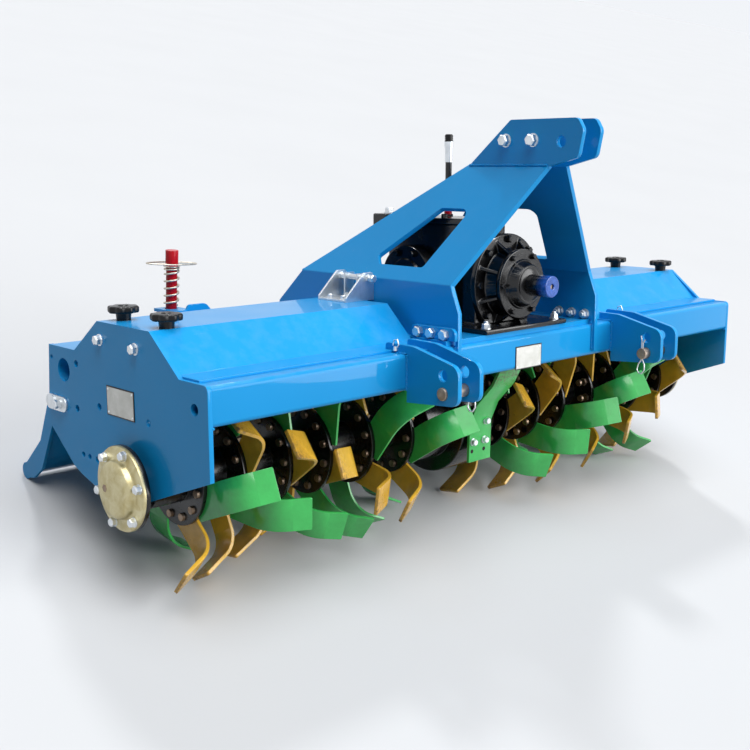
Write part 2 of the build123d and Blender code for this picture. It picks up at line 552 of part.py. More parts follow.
brackets = []
lugs = []
for side, name in ((-1, "left"), (1, "right")):
    x = side * ROD_X
    set_rod = Pos(x, ROD_EYE_Y, ROD_EYE_Z) * Rot(ROD_LEAN, 0, 0)
    rod = on_rod(ROD_EYE_R - 4, ROD_TOP, ROD_R) + bar(-10, 10, 0, 0, ROD_EYE_R)
    rod += on_rod(ROD_LENGTH - 62, ROD_TOP, ROD_UPPER_R)
    rod += on_rod(ROD_TOP - ROD_HEAD, ROD_TOP, ROD_HEAD_R)
    rod -= bar(-12, 12, 0, 0, 6 + FIT)
    add(f"spring_rod_{name}", set_rod * rod)
    coil = on_rod(ROD_LENGTH + 1.5, ROD_LENGTH + SPRING_LENGTH - 0.5, SPRING_R)
    coil -= on_rod(ROD_LENGTH - 1, ROD_LENGTH + SPRING_LENGTH + 1, SPRING_R - SPRING_WIRE)
    add(f"rod_spring_{name}", set_rod * coil)
    seat = block(x - BRACKET_WIDTH / 2, x + BRACKET_WIDTH / 2, POST_Y, 404,
                 ROD_SEAT_Z - 2 - BRACKET_T, ROD_SEAT_Z - 2)
    post = Plane.XZ.offset(-POST_Y) * rounded_face(SHOULDER)
    bracket = seat + Pos(x, 0, 0) * extrude(post, amount=BRACKET_T)
    bracket -= set_rod * on_rod(ROD_LENGTH - 40, ROD_LENGTH + 20, ROD_UPPER_R + 2)
    brackets.append(bracket)
    lug_x = 10 + LUG_GAP
    lug = side_on(rounded_face(LUG_OUTLINE), x - lug_x - LUG_T, LUG_T)
    lug += side_on(rounded_face(LUG_OUTLINE), x + lug_x, LUG_T)
    lug += bar(x - lug_x - LUG_T - 4, x + lug_x + LUG_T + 4, ROD_EYE_Y, ROD_EYE_Z, 6)
    lugs.append(lug)
add("rod_brackets", *brackets)
add("rod_lugs", *lugs)

# ---------------------------------------------------------------- deck fittings
KNOB_X = HALF_WIDTH - 50
KNOB_YS = (-57.0, 105.0)
KNOB_R = 33.0
KNOB_T = 17.0
KNOB_STEM = 15.0
KNOB_STEM_R = 16.0
knobs = []
for side in (-1, 1):
    for y in KNOB_YS:
        knob = Pos(side * KNOB_X, y, DECK_TOP + KNOB_STEM / 2) * Cylinder(KNOB_STEM_R, KNOB_STEM)
        knob += Pos(side * KNOB_X, y, DECK_TOP + KNOB_STEM + KNOB_T / 2) * Cylinder(KNOB_R, KNOB_T)
        knobs.append(knob)
add("deck_knobs", *knobs)

HOLDER_LOW = -352.0           # hose holder on the left deck
HOLDER_HIGH = -262.0
HOLDER_FRONT = 2.0
HOLDER_REAR = 102.0
HOLDER_T = 5.0
HOLDER_EAR = [
    (HOLDER_LOW, DECK_TOP, 0), (HOLDER_HIGH, DECK_TOP, 0), (HOLDER_HIGH, DECK_TOP + 66, 10),
    (HOLDER_HIGH - 32, DECK_TOP + 66, 8), (HOLDER_LOW, DECK_TOP + 10, 0)]
holder = block(HOLDER_LOW, HOLDER_HIGH, HOLDER_FRONT, HOLDER_REAR, DECK_TOP, DECK_TOP + HOLDER_T)
for y in (HOLDER_FRONT, HOLDER_REAR - HOLDER_T):
    ear = Plane.XZ.offset(-y) * rounded_face(HOLDER_EAR)
    holder += extrude(ear, amount=-HOLDER_T)
holder_middle = (HOLDER_FRONT + HOLDER_REAR) / 2
holder_pin = Rot(90, 0, 0) * Cylinder(7, HOLDER_REAR - HOLDER_FRONT + 16)
holder += Pos(HOLDER_HIGH - 16, holder_middle, DECK_TOP + 52) * holder_pin
add("hose_holder", holder)

# ---------------------------------------------------------------- write the pieces
os.makedirs("parts", exist_ok=True)
for node, solids in pieces.items():
    shape = solids[0] if len(solids) == 1 else Compound(solids)
    export_step(shape, f"parts/{node}.step")
print("park pitch", round(PARK_PITCH, 3), "origin", round(ORIGIN_Y, 2))
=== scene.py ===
"""Looks of a three-point rotary tiller with a centre drive: paint, castings, bolts and fittings.

Every added piece is drawn in the machine's own frame, in millimetres: X across, Y to the rear,
Z up, with the rotor axis as X. PARK lays it over the solids, which stand parked and lean back.
"""
import json
import math

import bmesh
import bpy
from bpy.props import FloatProperty, FloatVectorProperty, IntProperty, PointerProperty
from mathutils import Matrix, Vector

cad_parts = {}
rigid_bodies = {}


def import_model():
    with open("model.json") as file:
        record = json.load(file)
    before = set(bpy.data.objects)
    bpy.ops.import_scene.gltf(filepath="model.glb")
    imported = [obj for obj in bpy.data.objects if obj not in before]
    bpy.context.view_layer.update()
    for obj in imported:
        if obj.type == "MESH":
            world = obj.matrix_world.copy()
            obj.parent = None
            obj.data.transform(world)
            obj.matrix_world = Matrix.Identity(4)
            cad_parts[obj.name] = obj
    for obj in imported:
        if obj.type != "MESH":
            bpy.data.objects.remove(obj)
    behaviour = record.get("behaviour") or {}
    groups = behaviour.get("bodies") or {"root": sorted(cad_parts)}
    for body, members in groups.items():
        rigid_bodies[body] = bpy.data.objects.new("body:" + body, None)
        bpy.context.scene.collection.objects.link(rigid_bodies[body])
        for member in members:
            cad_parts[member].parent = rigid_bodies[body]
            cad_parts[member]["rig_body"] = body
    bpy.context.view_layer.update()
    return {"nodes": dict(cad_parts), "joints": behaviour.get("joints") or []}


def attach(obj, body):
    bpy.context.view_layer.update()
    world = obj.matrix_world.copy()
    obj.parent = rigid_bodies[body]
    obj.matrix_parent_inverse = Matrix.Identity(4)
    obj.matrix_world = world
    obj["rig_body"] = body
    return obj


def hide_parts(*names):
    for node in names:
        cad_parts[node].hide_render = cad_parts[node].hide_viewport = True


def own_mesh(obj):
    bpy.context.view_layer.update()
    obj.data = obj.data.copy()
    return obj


bl_info = {
    "name": "Rotary tiller",
    "version": (1, 0, 0),
    "blender": (4, 5, 0),
    "location": "3D View > Sidebar > Tiller",
    "description": "Paint, castings, fasteners and fittings of a tractor-mounted rotary tiller",
    "category": "Object",
}

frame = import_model()
JOINTS = {joint["name"]: joint for joint in frame["joints"]}

# ---- the machine's own frame
MM = 1000.0  # millimetres in a metre
HINGE_Y, HINGE_Z = 330.0, 124.0  # tailboard hinge, from the rotor axis
ROTOR_AXIS = Vector(JOINTS["rotor_spin"]["pos_m"])
HINGE_AXIS = Vector(JOINTS["tailboard_hinge"]["pos_m"])
HINGE_RISE = math.atan2(HINGE_AXIS.z - ROTOR_AXIS.z, HINGE_AXIS.y - ROTOR_AXIS.y)
PITCH = math.atan2(HINGE_Z, HINGE_Y) - HINGE_RISE
LEAN = Matrix.Rotation(-PITCH, 4, "X")
PARK = Matrix.Translation(ROTOR_AXIS) @ LEAN @ Matrix.Scale(1 / MM, 4)

HALF_WIDTH = 930.0  # outer faces of the side plates
BEARING_FACE = HALF_WIDTH + 30.0  # outer faces of the bearing flanges
BEAM_FRONT_Y = -263.0
BEAM_TOP = 248.0
DECK_TOP = 325.0

MAST_X = 256.0  # legs of the mast plates
MAST_TOP_X = 33.0  # their upright ears
MAST_BEND_Z = 376.0
MAST_EAR_Z = 638.0
PLATE_T = 12.0
EAR_BOLTS = [(-210.0, 697.0), (-290.0, 697.0)]
FOOT_BOLT_Y = (-160.0, -200.0, -241.0)
FOOT_BOLT_Z = 268.0
FOOT_PLATE_T = 10.0
HITCH_PLATES_X = (409.0, 342.0)
HITCH_PIN_Y, HITCH_PIN_Z = -369.0, 172.0

FLANGE_T = 10.0
FOOT_T = 5.5  # blade foot under a nut
LEFT_FLANGES = [(-832.0, 158.0), (-730.0, 181.0), (-606.4, 200.5), (-491.2, 217.0), (-362.8, 247.5),
                (-232.0, 267.5)]  # x, and the flange's turn in degrees
RIGHT_FLANGES = [(836.0, 200.5), (707.1, 185.5), (597.6, 165.5), (465.8, 150.0), (352.7, 129.0),
                 (234.6, 113.0), (120.0, 200.5)]

SHAFT_Z = 362.0  # input shaft
SHAFT_END_Y = -327.0
COVER_FACE_Y = -190.0  # front cover's rim, nose and seal
NOSE_FACE_Y = -236.0
SEAL_FACE_Y = -262.0
SIDE_COVER_X, SIDE_COVER_Y = 130.0, 28.0
HOUSING_X = 99.0
BASE_TOP = 267.0
TURRET_TOP = 500.0
LID_T = 15.0
BREATHER_X, BREATHER_Y = -4.0, 4.0

ROD_X = 592.0  # spring rods: eye on the tailboard, seat on the hood
ROD_EYE = (386.0, 112.0)
ROD_SEAT = (370.0, 301.0)
SPRING_LENGTH = 101.0
SPRING_RADIUS = 19.4
KNOBS = [(side * 880.0, y) for side in (-1, 1) for y in (-57.0, 105.0)]
HOLDER_X, HOLDER_PIN_Z, HOLDER_TOP = -278.0, 377.0, 330.0

CAMERA_SPOT = Vector((-2071.0, -1918.0, 644.0))
CAMERA_YAW, CAMERA_DOWN = math.radians(43.35), math.radians(10.78)


def linear(code):
    """The linear colour of an sRGB hex code."""
    parts = [int(code[i:i + 2], 16) / 255 for i in (0, 2, 4)]
    return [c / 12.92 if c <= 0.04045 else ((c + 0.055) / 1.055) ** 2.4 for c in parts]


# ---- what a user would change
def colour_setting(name, description, code):
    return FloatVectorProperty(name=name, description=description, subtype="COLOR",
                               default=linear(code))


def length_setting(name, description, metres):
    return FloatProperty(name=name, description=description, default=metres, min=0.0,
                         unit="LENGTH", precision=4)


class TillerPaints(bpy.types.PropertyGroup):
    blue: colour_setting("Frame blue", "Powder coat of hood, beam and mast", "1696DA")
    green: colour_setting("Blade green", "Paint of the cross blades and guard", "3CBC5A")
    yellow: colour_setting("Tine yellow", "Paint of the curved tines", "E8B43A")
    black: colour_setting("Casting black", "Gloss paint of gearbox and flanges", "09090B")
    red: colour_setting("Spring rod red", "Paint of the spring rods", "C20F1C")
    zinc: colour_setting("Yellow zinc", "Passivated plating of the bearing caps", "CDC49E")
    cap: colour_setting("Shaft cap blue", "Moulded cap over the input shaft", "2358B4")


class TillerSizes(bpy.types.PropertyGroup):
    flange_bolts: IntProperty(name="Bolts per flange", description="Blade bolts round each flange",
                              default=12, min=6, max=18)
    flange_bolt_circle: length_setting("Flange bolt circle", "Radius of the blade bolts", 0.085)
    flange_bolt_head: length_setting("Blade bolt head", "Across the flats", 0.019)
    knob_lobes: IntProperty(name="Knob lobes", description="Lobes of a star knob",
                            default=8, min=3, max=9)
    knob_radius: length_setting("Knob radius", "Outer radius of a star knob", 0.033)
    coil_turns: FloatProperty(name="Spring turns", description="Open turns of a rod's coil spring",
                              default=5.0, min=2.0)
    coil_wire: length_setting("Spring wire", "Thickness of the coil's wire", 0.005)
    ring_handle: length_setting("Ring width", "Width of the wire ring on a spring rod", 0.138)
    edge: length_setting("Plate edge rounding", "Rounding of cut plate edges", 0.0012)


class TillerStage(bpy.types.PropertyGroup):
    floor: colour_setting("Floor colour", "Plain pale floor", "CED0D3")
    key: FloatProperty(name="Front light", description="Strength of the front light, in W/m2",
                       default=2.6, min=0.0)
    focal: FloatProperty(name="Focal length", description="Camera lens", default=53.25, min=1.0,
                         unit="CAMERA")


def in_mm(length):
    """A length from the panel in the machine frame's millimetres."""
    return round(length * MM, 4)


# ---- materials
FIELD_DUST, CASTING_DUST, GREASE = "C9CED6", "8A8C90", "07090E"


def add_node(tree, kind, inputs=None, **settings):
    """Add a node, set its settings, and set or link its inputs by name or number."""
    node = tree.nodes.new(kind)
    for key, value in settings.items():
        setattr(node, key, value)
    for key, value in (inputs or {}).items():
        if isinstance(value, bpy.types.NodeSocket):
            tree.links.new(value, node.inputs[key])
        else:
            node.inputs[key].default_value = value
    return node


def noise(tree, place, size_mm, detail=3.0, rough=0.5, distort=0.0):
    """Noise whose cells are about size_mm across, as a factor."""
    node = add_node(tree, "ShaderNodeTexNoise",
                    {"Vector": place, "Scale": MM / size_mm, "Detail": detail, "Roughness": rough,
                     "Distortion": distort})
    return node.outputs["Fac"]


def between(tree, value, low, high, to_low=0.0, to_high=1.0):
    """A factor that goes from to_low to to_high as value goes from low to high."""
    node = add_node(tree, "ShaderNodeMapRange",
                    {"Value": value, "From Min": low, "From Max": high, "To Min": to_low,
                     "To Max": to_high})
    return node.outputs["Result"]


def blended(tree, factor, first, second):
    """A colour between two colours. Sockets 6, 7 and 2 are the Mix node's colour sockets."""
    node = add_node(tree, "ShaderNodeMix", {0: factor, 6: first, 7: second}, data_type="RGBA")
    return node.outputs[2]


def times(tree, first, second):
    """The product of two factors."""
    return add_node(tree, "ShaderNodeMath", {0: first, 1: second}, operation="MULTIPLY").outputs[0]


def vector_math(tree, operation, first, second=(0.0, 0.0, 0.0)):
    """The outputs of a node that works on one or two vectors."""
    return add_node(tree, "ShaderNodeVectorMath", {0: first, 1: tuple(second)},
                    operation=operation).outputs


def new_material(name):
    """An empty material with its shader, its output and its object coordinates."""
    material = bpy.data.materials.new(name)
    material.use_nodes = True
    tree = material.node_tree
    tree.nodes.clear()
    shader = add_node(tree, "ShaderNodeBsdfPrincipled")
    add_node(tree, "ShaderNodeOutputMaterial", {"Surface": shader.outputs["BSDF"]})
    place = add_node(tree, "ShaderNodeTexCoord").outputs["Object"]
    return material, tree, shader, place


def rgba(colour, shade=1.0):
    """An opaque colour, made darker or lighter by a shade."""
    return (colour[0] * shade, colour[1] * shade, colour[2] * shade, 1.0)


def dress(tree, shader, colour, rough, height, distance, sockets):
    """Link a surface's colour and roughness, raise it by height times distance in metres, and set
    the sockets that are the same all over it."""
    tree.links.new(colour, shader.inputs["Base Color"])
    tree.links.new(rough, shader.inputs["Roughness"])
    for name, value in sockets.items():
        shader.inputs[name].default_value = value
    bump = add_node(tree, "ShaderNodeBump",
                    {"Height": height, "Distance": distance, "Strength": 1.0})
    tree.links.new(bump.outputs["Normal"], shader.inputs["Normal"])


def upward(tree):
    """How far a face looks up, from the surface's own normal."""
    normal = add_node(tree, "ShaderNodeNewGeometry").outputs["Normal"]
    return add_node(tree, "ShaderNodeSeparateXYZ", {0: normal}).outputs["Z"]


def powder_coat(name, colour, roughness=0.34, coat=0.32, dust=0.08, scuff_and_highlight=0.16):
    """Polyester powder coat on sheet steel: a glossy skin with a faint orange peel, a little
    settled dust on what faces up, and fine pale scuffs that also serve as painted highlight
    streaks."""
    material, tree, shader, place = new_material(name)
    cloud = noise(tree, place, 260.0, 2.0)
    body = blended(tree, between(tree, cloud, 0.3, 0.7), rgba(colour, 0.97), rgba(colour, 1.03))
    grime = noise(tree, place, 45.0, 6.0, 0.62)
    up = between(tree, upward(tree), 0.55, 1.0)
    settled = times(tree, times(tree, up, between(tree, grime, 0.45, 0.78)), dust)
    body = blended(tree, settled, body, rgba(linear(FIELD_DUST)))
    # Pale stretched streaks: scuffs from handling, which also stand in as painted highlight
    # streaks.
    stretch = add_node(tree, "ShaderNodeMapping", {"Vector": place, "Scale": (1.0, 5.0, 3.0),
                                                   "Rotation": (0.2, 0.35, 0.5)}).outputs[0]
    scuff_highlight_marks = noise(tree, stretch, 60.0, 9.0, 0.72, 0.4)
    scuff_highlight_marks = times(tree, between(tree, scuff_highlight_marks, 0.66, 0.72), scuff_and_highlight)
    body = blended(tree, scuff_highlight_marks, body, rgba([0.5 * c + 0.35 for c in colour]))
    rough = between(tree, noise(tree, place, 90.0, 5.0), 0.3, 0.75,
                    roughness - 0.04, roughness + 0.05)
    dress(tree, shader, body, rough, noise(tree, place, 3.2, 2.0), 0.00006,
          {"Coat Weight": coat, "Coat Roughness": 0.04, "Specular IOR Level": 0.06})
    return material


def rotor_radius(tree, place):
    """Distance from the rotor axis, in metres."""
    shifted = vector_math(tree, "SUBTRACT", place, ROTOR_AXIS)[0]
    flat = vector_math(tree, "MULTIPLY", shifted, (0.0, 1.0, 1.0))[0]
    return vector_math(tree, "LENGTH", flat)["Value"]


def blade_paint(name, colour, worn_from, worn_to, chips, steel):
    """Brushed-on gloss paint over forged spring steel: runs and thin spots in the coat, chips
    along it, and bare steel where the tip is worn, between two radii in metres."""
    material, tree, shader, place = new_material(name)
    radius = rotor_radius(tree, place)
    cloud = noise(tree, place, 70.0, 4.0, 0.6)
    body = blended(tree, between(tree, cloud, 0.32, 0.7), rgba(colour, 0.82), rgba(colour, 1.12))
    grain = between(tree, noise(tree, place, 9.0, 6.0, 0.65), 0.38, 0.62)
    tip = times(tree, between(tree, radius, worn_from, worn_to), grain)
    flecks = noise(tree, place, 5.5, 5.0, 0.7)
    flecks = times(tree, between(tree, flecks, 0.66, 0.71), chips)
    stain = noise(tree, place, 38.0, 7.0, 0.66)
    stain = times(tree, between(tree, stain, 0.55, 0.80), 0.5 * chips)
    body = blended(tree, stain, body, rgba(colour, 0.45))
    body = blended(tree, flecks, body, rgba(linear(steel), 0.5))
    body = blended(tree, tip, body, rgba(linear(steel)))
    rough = between(tree, tip, 0.0, 1.0, 0.26, 0.55)
    dress(tree, shader, body, rough, noise(tree, place, 7.0, 4.0, 0.6), 0.00022,
          {"Coat Weight": 0.35, "Coat Roughness": 0.12})
    return material


def casting_paint(name, colour, grit_mm=2.6, depth=0.00018, roughness=0.20):
    """Thick gloss enamel on sand-cast iron: the sand's grain shows softly through wet-looking
    paint."""
    material, tree, shader, place = new_material(name)
    grime = noise(tree, place, 55.0, 6.0, 0.6)
    up = between(tree, upward(tree), 0.5, 1.0)
    dusty = times(tree, times(tree, up, between(tree, grime, 0.4, 0.75)), 0.08)
    body = blended(tree, dusty, rgba(colour), rgba(linear(CASTING_DUST)))
    rough = between(tree, grime, 0.3, 0.75, roughness - 0.06, roughness + 0.14)
    dress(tree, shader, body, rough, noise(tree, place, grit_mm, 4.0, 0.6), depth,
          {"Coat Weight": 0.30, "Coat Roughness": 0.10, "Specular IOR Level": 0.34})
    return material


def plated_steel(name, colour, second, roughness=0.34, spot_mm=14.0):
    """Zinc plating on turned or pressed steel: a soft metal sheen whose tint drifts from place to
    place."""
    material, tree, shader, place = new_material(name)
    drift = noise(tree, place, spot_mm, 4.0, 0.6, 0.6)
    body = blended(tree, between(tree, drift, 0.35, 0.7), rgba(colour), rgba(second))
    rough = between(tree, noise(tree, place, 6.0, 4.0), 0.3, 0.75,
                    roughness - 0.05, roughness + 0.08)
    dress(tree, shader, body, rough, noise(tree, place, 1.6, 2.0), 0.000008, {"Metallic": 0.92})
    return material


def moulded_plastic(name, colour, roughness):
    """Injection-moulded plastic: a fine spark-eroded grain and a slightly uneven sheen."""
    material, tree, shader, place = new_material(name)
    cloud = noise(tree, place, 18.0, 4.0)
    body = blended(tree, between(tree, cloud, 0.3, 0.7), rgba(colour, 0.85), rgba(colour, 1.15))
    rough = between(tree, cloud, 0.3, 0.7, roughness - 0.06, roughness + 0.08)
    dress(tree, shader, body, rough, noise(tree, place, 0.9, 2.0), 0.00003,
          {"Specular IOR Level": 0.3})
    return material


def shaft_cap_plastic(name, colour):
    """Polythene cap: blue at its closed end, and black where the greased shaft shows through its
    skirt."""
    material, tree, shader, place = new_material(name)
    front = PARK @ Vector((0.0, SHAFT_END_Y, SHAFT_Z))
    shaft = (PARK.to_3x3() @ Vector((0.0, 1.0, 0.0))).normalized()
    shifted = vector_math(tree, "SUBTRACT", place, front)[0]
    along = vector_math(tree, "DOT_PRODUCT", shifted, shaft)["Value"]
    smear = noise(tree, place, 9.0, 5.0, 0.6)
    body = blended(tree, between(tree, smear, 0.35, 0.7), rgba(colour, 0.75), rgba(colour, 1.2))
    body = blended(tree, between(tree, along, 0.006, 0.032), body, rgba(linear(GREASE)))
    rough = between(tree, smear, 0.3, 0.7, 0.2, 0.34)
    dress(tree, shader, body, rough, noise(tree, place, 4.0, 3.0), 0.00008, {"Coat Weight": 0.3})
    return material


def make_materials(paints):
    """All the finishes, by the plain name of each."""
    return {
        "blue": powder_coat("blue_powder_coat", paints.blue),
        "green": blade_paint("green_blade_paint", paints.green, 0.236, 0.262, 0.30, "5A5A3A"),
        "yellow": blade_paint("yellow_tine_paint", paints.yellow, 0.206, 0.232, 0.8, "6B4A2C"),
        "black": casting_paint("black_casting_enamel", paints.black),
        "flange": casting_paint("black_flange_paint", paints.black, 1.4, 0.00008, 0.22),
        "red": powder_coat("red_rod_paint", paints.red, 0.22, 0.25, 0.02, 0.04),
        "zinc": plated_steel("yellow_passivated_zinc", paints.zinc, linear("AFA070"), 0.36, 34.0),
        "bright": plated_steel("bright_zinc_plate", linear("E2E6EA"), linear("CED2D4"), 0.34, 30.0),
        "bolt": plated_steel("oiled_bolt_steel", linear("A08C78"), linear("6E5B4C"), 0.38, 12.0),
        "pin": plated_steel("bare_pin_steel", linear("BAAA9A"), linear("8C7C6E"), 0.42, 16.0),
        "spring": plated_steel("spring_wire", linear("D8CFC0"), linear("A89F92"), 0.33, 8.0),
        "plate": plated_steel("blank_sign_plate", linear("BEBEBA"), linear("ACACA6"), 0.5, 40.0),
        "border": moulded_plastic("black_border_print", linear("18181A"), 0.4),
        "knob": moulded_plastic("black_nylon_knob", linear("050506"), 0.30),
        "cap": shaft_cap_plastic("blue_polythene_cap", paints.cap),
        # Near-black finish for discs that stand for the painted shade inside holes.
        "hole": moulded_plastic("painted_hole_shade", linear("070708"), 0.7),
    }


FINISHES = {}
NODE_FINISH = [
    ("curved_tines", "yellow"), ("cross_blades", "green"), ("case_guard", "green"),
    ("rotor_shaft", "flange"), ("gearbox", "black"), ("drive_case", "black"),
    ("breather", "black"), ("bearing_flange", "flange"), ("bearing_cap", "zinc"),
    ("hinge_links", "bright"), ("hitch_pins", "pin"), ("mast_bolts", "bright"),
    ("hose_holder", "bright"), ("input_shaft", "pin"), ("shaft_cap", "cap"),
    ("deck_knobs", "knob"), ("spring_rod", "red"), ("rod_spring", "spring")]


def finish_of(node):
    """The finish that a CAD node gets."""
    for start, finish in NODE_FINISH:
        if node.startswith(start):
            return finish
    return "blue"


# ---- mesh helpers
WASHER_T = 2.2
SEAM_GAP = 0.00002  # metres between the ends of a solid's faces
FLAT_ANGLE = math.radians(0.8)  # faces closer than this are one face
CUT_ANGLE = math.radians(28.0)  # edges sharper than this were cut


def polar(radius, angle):
    """The two coordinates of a point on a circle."""
    return radius * math.cos(angle), radius * math.sin(angle)


def facing(point, direction):
    """A place at a point whose Z looks along a direction."""
    turn = Vector(direction).to_track_quat("Z", "Y").to_matrix().to_4x4()
    return Matrix.Translation(Vector(point)) @ turn


def raised(distance):
    """A step outwards along a place's own Z."""
    return Matrix.Translation((0.0, 0.0, distance))


def disc(bm, place, radius, height, top_radius=None, segments=24):
    """A round or many-sided boss from the place outwards along its Z."""
    top = radius if top_radius is None else top_radius
    made = bmesh.ops.create_cone(bm, cap_ends=True, segments=segments, radius1=radius, radius2=top,
                                 depth=height, matrix=place @ raised(height / 2))
    return made["verts"]


def slab(bm, place, width, depth, height):
    """A box centred on the place, standing out along its Z."""
    size = Matrix.Diagonal((width, depth, height, 1.0))
    return bmesh.ops.create_cube(bm, size=1.0, matrix=place @ raised(height / 2) @ size)["verts"]


def hex_bolt(bm, place, flats, turn=0.0, washer=0.0, stud=0.0):
    """A hexagon head with a chamfered top. A washer's radius puts one under it, and a stud's length
    lets its end through it."""
    place = place @ Matrix.Rotation(turn, 4, "Z")
    height = 0.62 * flats
    straight, chamfer = height * 0.78, height * 0.22
    corner, thread = flats / math.sqrt(3), flats * 0.31
    base = 0.0
    if washer > 0:
        disc(bm, place, washer, WASHER_T, segments=20)
        base = WASHER_T
    disc(bm, place @ raised(base), corner, straight, segments=6)
    disc(bm, place @ raised(base + straight), corner, chamfer, flats * 0.47, segments=6)
    if stud > 0:
        disc(bm, place @ raised(base + height), thread, stud * 0.8, segments=12)
        disc(bm, place @ raised(base + height + stud * 0.8), thread, stud * 0.2, flats * 0.26,
             segments=12)


def round_off(bm, edges, width, segments, clamp=False):
    """Round edges, and give back the faces that this makes."""
    return bmesh.ops.bevel(bm, geom=edges, offset=width, offset_type="OFFSET", affect="EDGES",
                           segments=segments, profile=0.5, material=-1,
                           clamp_overlap=clamp)["faces"]


def wire_path(bm, points, radius, segments=8, closed=False):
    """A round wire swept along points by extruding one ring from point to point."""
    points = [Vector(p) for p in points]
    count = len(points)
    rings = []
    for i, point in enumerate(points):
        before = points[i - 1] if i or closed else point
        after = points[(i + 1) % count] if i < count - 1 or closed else point
        place = facing(point, after - before)
        ring = bmesh.ops.create_circle(bm, cap_ends=False, segments=segments, radius=radius,
                                       matrix=place)
        rings.append(ring["verts"])
    for i in range(count if closed else count - 1):
        first, second = rings[i], rings[(i + 1) % count]
        edges = [e for ring in (first, second) for v in ring for e in v.link_edges
                 if e.other_vert(v) in ring]
        bmesh.ops.bridge_loops(bm, edges=list(dict.fromkeys(edges)))
    if not closed:
        for ring in (rings[0], rings[-1]):
            bmesh.ops.contextual_create(bm, geom=ring)


def weld_bead(bm, start, end, radius=3.6, step=3.4):
    """A weld bead: overlapping puddles along a line, of slightly uneven widths."""
    start, end = Vector(start), Vector(end)
    run = end - start
    count = max(2, int(run.length / step))
    for i in range(count + 1):
        swell = radius * (1.0 + 0.10 * math.sin(i * 2.3))
        puddle = Matrix.Diagonal((swell, swell, step * 0.75, 1.0))
        place = facing(start + run * (i / count), run) @ puddle
        bmesh.ops.create_icosphere(bm, subdivisions=1, radius=1.0, matrix=place)


def settle(bm, name, finish, body="frame", smooth=38.0, place=PARK, flat=()):
    """Turn a bmesh in the machine's frame into a piece that rides on a body. Edges under smooth
    degrees shade as one surface, and the faces in flat stay plain."""
    bmesh.ops.transform(bm, matrix=place, verts=bm.verts)
    bmesh.ops.recalc_face_normals(bm, faces=bm.faces)
    limit = math.radians(smooth)
    for face in bm.faces:
        face.smooth = face not in flat
    for edge in bm.edges:
        edge.smooth = len(edge.link_faces) == 2 and edge.calc_face_angle(0.0) < limit
    mesh = bpy.data.meshes.new(name)
    bm.to_mesh(mesh)
    bm.free()
    piece = bpy.data.objects.new(name, mesh)
    bpy.context.scene.collection.objects.link(piece)
    mesh.materials.append(FINISHES[finish])
    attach(piece, body)
    return piece


def is_curved(face):
    """Whether a face is one strip of a rounded surface: it bends a little at one of its edges."""
    angles = [edge.calc_face_angle(0.0) for edge in face.edges if len(edge.link_faces) == 2]
    return len(face.verts) <= 8 and any(0.005 < angle < 0.45 for angle in angles)


def softened(node, width):
    """A copy of a CAD node with its cut edges rounded, standing for the node."""
    source = frame["nodes"][node]
    bm = bmesh.new()
    bm.from_mesh(source.data)
    bmesh.ops.remove_doubles(bm, verts=bm.verts, dist=SEAM_GAP)
    bmesh.ops.dissolve_limit(bm, angle_limit=FLAT_ANGLE, verts=bm.verts, edges=bm.edges)
    plain_mark = bm.faces.layers.int.new("plain")
    for face in bm.faces:
        face[plain_mark] = not is_curved(face)
    sharp = [edge for edge in bm.edges
             if len(edge.link_faces) == 2 and edge.calc_face_angle(0.0) > CUT_ANGLE]
    rounded = round_off(bm, sharp, width / MM, 2, clamp=True)
    plain = {face for face in bm.faces if face[plain_mark]}.difference(rounded)
    piece = settle(bm, f"{node}_edged", finish_of(node), source["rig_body"], 40.0,
                   Matrix.Identity(4), plain)
    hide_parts(node)


# ---- operators, one for each group
class TILLER_OT_paintwork(bpy.types.Operator):
    """Give every solid of the machine its finish"""
    bl_idname = "tiller.paintwork"
    bl_label = "Paintwork"

    def execute(self, context):
        FINISHES.update(make_materials(context.scene.tiller_paints))
        for name, node in frame["nodes"].items():
            node.data.materials.clear()
            node.data.materials.append(FINISHES[finish_of(name)])
        return {"FINISHED"}


class TILLER_OT_rounded_edges(bpy.types.Operator):
    """Round the cut edges of plates, blades and castings"""
    bl_idname = "tiller.rounded_edges"
    bl_label = "Rounded edges"

    def execute(self, context):
        edge = in_mm(context.scene.tiller_sizes.edge)
        for side in ("left", "right"):
            for node, width in (("curved_tines", 1.2), ("cross_blades", 0.8), ("rotor_shaft", 1.0),
                                ("mast", edge), ("hitch_plates", edge), ("side_plate", edge),
                                ("deck", 0.8), ("bearing_flange", 1.5), ("spring_rod", 1.5)):
                softened(f"{node}_{side}", width)
        for node, width in (("gearbox_housing", 4.0), ("gearbox_cover", 2.2),
                            ("gearbox_side_covers", 2.5), ("drive_case", 3.0), ("case_guard", 1.0),
                            ("mast_feet", edge), ("shaft_cap", 2.0), ("hitch_pins", 2.0),
                            ("hose_holder", 0.9), ("rod_brackets", 1.0), ("front_beam", 1.0),
                            ("centre_plate", 1.0), ("hinge_links", 0.8), ("tailboard_wings", 1.0),
                            ("tailboard_sheet", 0.8)):
            softened(node, width)
        return {"FINISHED"}


